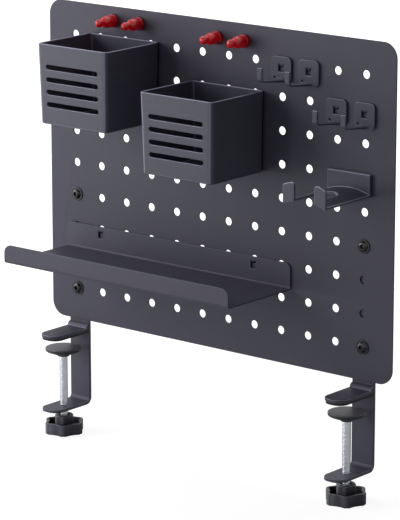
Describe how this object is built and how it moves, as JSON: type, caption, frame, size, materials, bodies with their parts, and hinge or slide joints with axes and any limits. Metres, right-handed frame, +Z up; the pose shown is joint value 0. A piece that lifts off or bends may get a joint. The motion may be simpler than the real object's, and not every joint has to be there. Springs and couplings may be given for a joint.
{
  "type": "clamp-on pegboard desk organizer",
  "caption": "Upright pegboard that clamps to a desk's back edge, with hang-on cups, a long tray, a headphone holder, single hooks and red push-pin magnets.",
  "frame": {"origin": "on the desk top at the middle of its gripped back edge: z = 0 is the underside of the jaw pads, y = 0 the brackets' front faces and the board's back, x = 0 half way along the board", "axes": "+X to the user's right along the board, +Y away from the user, +Z up"},
  "size_m": [0.42, 0.1063, 0.4325],
  "materials": {
    "board_coat": "fine matt powder coat, slate grey",
    "bracket_coat": "fine matt powder coat, slate grey",
    "tray_coat": "fine matt powder coat, slate grey",
    "hook_coat": "fine matt powder coat, slate grey",
    "foot_coat": "satin black-grey powder coat",
    "black_bolts": "glossy black oxide",
    "nut_zinc": "bright zinc plate",
    "screw_zinc": "bright zinc plate",
    "pad_rubber": "matt black rubber",
    "foot_rubber": "matt grey rubber",
    "knob_plastic": "satin dark grey moulded plastic",
    "cup_plastic": "satin slate grey moulded plastic",
    "holder_plastic": "satin dark grey moulded plastic",
    "pin_red": "glossy red moulded plastic",
    "magnet_nickel": "nickel plate"
  },
  "bodies": {
    "frame": {"pegboard_panel": "board_coat", "left_clamp_bracket": "bracket_coat", "left_upper_jaw": "bracket_coat", "left_jaw_pad": "pad_rubber", "left_bracket_bolts": "black_bolts", "left_bracket_nuts": "nut_zinc", "right_clamp_bracket": "bracket_coat", "right_upper_jaw": "bracket_coat", "right_jaw_pad": "pad_rubber", "right_bracket_bolts": "black_bolts", "right_bracket_nuts": "nut_zinc"},
    "left_foot": {"left_foot_disc": "foot_coat", "left_foot_pad": "foot_rubber"},
    "left_screw": {"left_clamp_screw": "screw_zinc", "left_knob": "knob_plastic"},
    "right_foot": {"right_foot_disc": "foot_coat", "right_foot_pad": "foot_rubber"},
    "right_screw": {"right_clamp_screw": "screw_zinc", "right_knob": "knob_plastic"},
    "left_cup": {"left_cup": "cup_plastic"},
    "right_cup": {"right_cup": "cup_plastic"},
    "tray": {"tray": "tray_coat"},
    "headphone_holder": {"headphone_holder": "holder_plastic"},
    "hook_1": {"hook_1": "hook_coat"},
    "hook_2": {"hook_2": "hook_coat"},
    "hook_3": {"hook_3": "hook_coat"},
    "hook_4": {"hook_4": "hook_coat"},
    "pin_1": {"pin_1": "pin_red", "pin_magnet_1": "magnet_nickel"},
    "pin_2": {"pin_2": "pin_red", "pin_magnet_2": "magnet_nickel"},
    "pin_3": {"pin_3": "pin_red", "pin_magnet_3": "magnet_nickel"},
    "pin_4": {"pin_4": "pin_red", "pin_magnet_4": "magnet_nickel"}
  },
  "joints": [
    {"name": "left_foot_travel", "type": "slide", "parent": "frame", "child": "left_foot", "axis": [0, 0, 1], "range_m": [-0.0476, 0.0063]},
    {"name": "left_knob_turn", "type": "hinge", "parent": "left_foot", "child": "left_screw", "pos_m": [-0.176, -0.0245, -0.05], "axis": [0, 0, 1], "range_deg": [-13680, 1800]},
    {"name": "right_foot_travel", "type": "slide", "parent": "frame", "child": "right_foot", "axis": [0, 0, 1], "range_m": [-0.0476, 0.0063]},
    {"name": "right_knob_turn", "type": "hinge", "parent": "right_foot", "child": "right_screw", "pos_m": [0.176, -0.0245, -0.05], "axis": [0, 0, 1], "range_deg": [-13680, 1800]},
    {"name": "left_cup_lift", "type": "slide", "parent": "frame", "child": "left_cup", "axis": [0, 0, 1], "range_m": [0, 0.0033]},
    {"name": "right_cup_lift", "type": "slide", "parent": "frame", "child": "right_cup", "axis": [0, 0, 1], "range_m": [0, 0.0033]},
    {"name": "tray_lift", "type": "slide", "parent": "frame", "child": "tray", "axis": [0, 0, 1], "range_m": [0, 0.0033]},
    {"name": "headphone_holder_lift", "type": "slide", "parent": "frame", "child": "headphone_holder", "axis": [0, 0, 1], "range_m": [0, 0.0033]},
    {"name": "hook_1_lift", "type": "slide", "parent": "frame", "child": "hook_1", "axis": [0, 0, 1], "range_m": [0, 0.0033]},
    {"name": "hook_2_lift", "type": "slide", "parent": "frame", "child": "hook_2", "axis": [0, 0, 1], "range_m": [0, 0.0033]},
    {"name": "hook_3_lift", "type": "slide", "parent": "frame", "child": "hook_3", "axis": [0, 0, 1], "range_m": [0, 0.0033]},
    {"name": "hook_4_lift", "type": "slide", "parent": "frame", "child": "hook_4", "axis": [0, 0, 1], "range_m": [0, 0.0033]},
    {"name": "pin_1_pull", "type": "slide", "parent": "frame", "child": "pin_1", "axis": [0, -1, 0], "range_m": [0, 0.03]},
    {"name": "pin_2_pull", "type": "slide", "parent": "frame", "child": "pin_2", "axis": [0, -1, 0], "range_m": [0, 0.03]},
    {"name": "pin_3_pull", "type": "slide", "parent": "frame", "child": "pin_3", "axis": [0, -1, 0], "range_m": [0, 0.03]},
    {"name": "pin_4_pull", "type": "slide", "parent": "frame", "child": "pin_4", "axis": [0, -1, 0], "range_m": [0, 0.03]}
  ],
  "couplings": [
    {"joint": "left_foot_travel", "follows": "left_knob_turn", "m_per_rad": 0.00019894},
    {"joint": "right_foot_travel", "follows": "right_knob_turn", "m_per_rad": 0.00019894}
  ]
}
